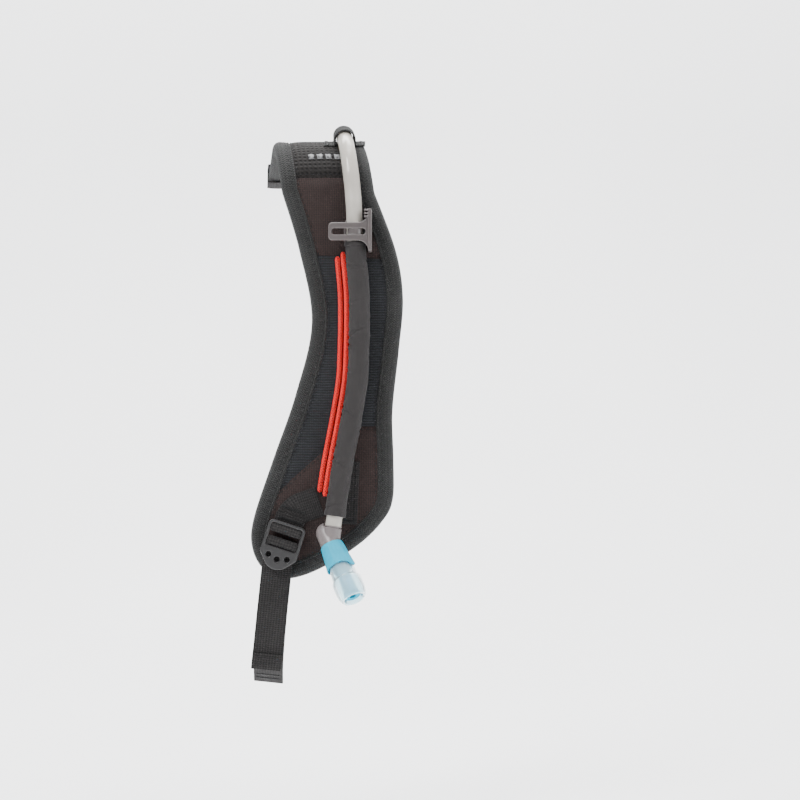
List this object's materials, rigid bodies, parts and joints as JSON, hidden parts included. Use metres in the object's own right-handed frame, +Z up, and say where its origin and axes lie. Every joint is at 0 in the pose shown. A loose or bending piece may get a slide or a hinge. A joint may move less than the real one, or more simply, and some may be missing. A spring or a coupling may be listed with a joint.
{
  "type": "hydration pack shoulder strap",
  "caption": "Padded hydration pack shoulder strap with a docked, sleeved drinking hose, angled bite valve, hose clip and ladder-lock webbing adjuster.",
  "frame": {"origin": "middle of the seam that joins the strap's upper end to the pack", "axes": "+Z up; the strap leaves the seam forwards along -Y, bends down over the shoulder and its front faces -Y; +X is to the viewer's right from the front"},
  "size_m": [0.0957, 0.1711, 0.3554],
  "materials": {
    "foam": "closed-cell foam, matt",
    "lining_mesh": "knitted spacer mesh",
    "air_mesh": "open air mesh",
    "brown_weave": "plain woven nylon, brown-black",
    "ribbed_weave": "horizontally ribbed woven fabric",
    "knit_binding": "stretch knit, grey-green black",
    "webbing": "ribbed nylon webbing",
    "thread": "polyester sewing thread",
    "reflective": "retro-reflective print",
    "red_cord": "braided piping",
    "sleeve_fabric": "smooth stretch sleeve, dark grey",
    "clear_tube": "milky translucent tube",
    "elbow_plastic": "warm grey moulded plastic",
    "cyan_plastic": "bright cyan moulded plastic",
    "silicone": "clear milky silicone",
    "clip_plastic": "grey-brown moulded plastic",
    "buckle_plastic": "dark grey acetal",
    "magnet_metal": "nickel-plated magnet",
    "seal_rubber": "black rubber seal"
  },
  "bodies": {
    "strap": {"strap_foam": "foam", "back_lining": "lining_mesh", "top_mesh_panel": "air_mesh", "upper_panel": "brown_weave", "middle_panel": "ribbed_weave", "lower_panel": "brown_weave", "edge_binding": "knit_binding", "inner_bead": "knit_binding", "reflective_bars": "reflective", "center_webbing": "webbing", "dock_piping": "red_cord", "dock_magnets": "magnet_metal", "tube_keeper": "knit_binding", "root_cover": "webbing", "root_bartacks": "thread", "tube_clip": "clip_plastic", "clip_loop": "webbing", "anchor_webbing": "webbing", "anchor_bartack": "thread", "shoulder_tube": "clear_tube", "quick_plug": "clip_plastic", "quick_plug_orings": "seal_rubber", "sleeve_cuff": "sleeve_fabric"},
    "hose_1": {"tube_link_1": "clear_tube", "sleeve_link_1": "sleeve_fabric", "piping_link_1": "red_cord"},
    "hose_2": {"tube_link_2": "clear_tube", "sleeve_link_2": "sleeve_fabric", "piping_link_2": "red_cord"},
    "hose_3": {"tube_link_3": "clear_tube", "sleeve_link_3": "sleeve_fabric", "piping_link_3": "red_cord", "sleeve_magnet_3": "magnet_metal"},
    "hose_4": {"tube_link_4": "clear_tube", "sleeve_link_4": "sleeve_fabric", "piping_link_4": "red_cord"},
    "hose_5": {"tube_link_5": "clear_tube", "sleeve_link_5": "sleeve_fabric", "piping_link_5": "red_cord", "sleeve_magnet_5": "magnet_metal"},
    "hose_6": {"tube_link_6": "clear_tube", "sleeve_link_6": "sleeve_fabric", "piping_link_6": "red_cord", "valve_barb": "elbow_plastic", "barb_oring": "seal_rubber"},
    "valve": {"valve_elbow": "elbow_plastic"},
    "mouth": {"valve_stem": "cyan_plastic", "barrel_orings": "seal_rubber", "twist_collar": "cyan_plastic", "mouthpiece": "silicone"},
    "buckle": {"ladder_buckle": "buckle_plastic"},
    "webbing": {"adjuster_webbing": "webbing", "tail_hem": "webbing", "load_end_bartack": "thread"}
  },
  "joints": [
    {"name": "hose_bend_1", "type": "hinge", "parent": "strap", "child": "hose_1", "pos_m": [0.03216, -0.10967, -0.05478], "axis": [-0.3746, -0.9272, 0], "range_deg": [0, 12], "stiffness_Nm_per_rad": 0.06},
    {"name": "hose_bend_2", "type": "hinge", "parent": "hose_1", "child": "hose_2", "pos_m": [0.03474, -0.10967, -0.08165], "axis": [-0.3746, -0.9272, 0], "range_deg": [0, 12], "stiffness_Nm_per_rad": 0.06},
    {"name": "hose_bend_3", "type": "hinge", "parent": "hose_2", "child": "hose_3", "pos_m": [0.03474, -0.10967, -0.10865], "axis": [-0.3746, -0.9272, 0], "range_deg": [0, 12], "stiffness_Nm_per_rad": 0.06},
    {"name": "hose_bend_4", "type": "hinge", "parent": "hose_3", "child": "hose_4", "pos_m": [0.0338, -0.10967, -0.13564], "axis": [-0.3746, -0.9272, 0], "range_deg": [0, 12], "stiffness_Nm_per_rad": 0.06},
    {"name": "hose_bend_5", "type": "hinge", "parent": "hose_4", "child": "hose_5", "pos_m": [0.02934, -0.10967, -0.16227], "axis": [-0.3746, -0.9272, 0], "range_deg": [0, 12], "stiffness_Nm_per_rad": 0.06},
    {"name": "hose_bend_6", "type": "hinge", "parent": "hose_5", "child": "hose_6", "pos_m": [0.0242, -0.11084, -0.18875], "axis": [-0.3746, -0.9272, 0], "range_deg": [0, 12], "stiffness_Nm_per_rad": 0.06},
    {"name": "valve_swivel", "type": "hinge", "parent": "hose_6", "child": "valve", "pos_m": [0.01719, -0.11499, -0.23564], "axis": [-0.1472, -0.0872, -0.9853], "range_deg": [-42, 10]},
    {"name": "valve_twist", "type": "hinge", "parent": "valve", "child": "mouth", "pos_m": [0.01719, -0.11499, -0.23564], "axis": [0.3652, -0.4952, -0.7883], "range_deg": [0, 90]},
    {"name": "buckle_tilt", "type": "hinge", "parent": "strap", "child": "buckle", "pos_m": [-0.01047, -0.10727, -0.22855], "axis": [-0.9511, 0, 0.309], "range_deg": [0, 25]},
    {"name": "webbing_swing", "type": "hinge", "parent": "buckle", "child": "webbing", "pos_m": [-0.013, -0.10727, -0.23635], "axis": [-0.9511, 0, 0.309], "range_deg": [-25, 0]}
  ],
  "couplings": [
    {"joint": "webbing_swing", "follows": "buckle_tilt", "ratio": -1}
  ]
}
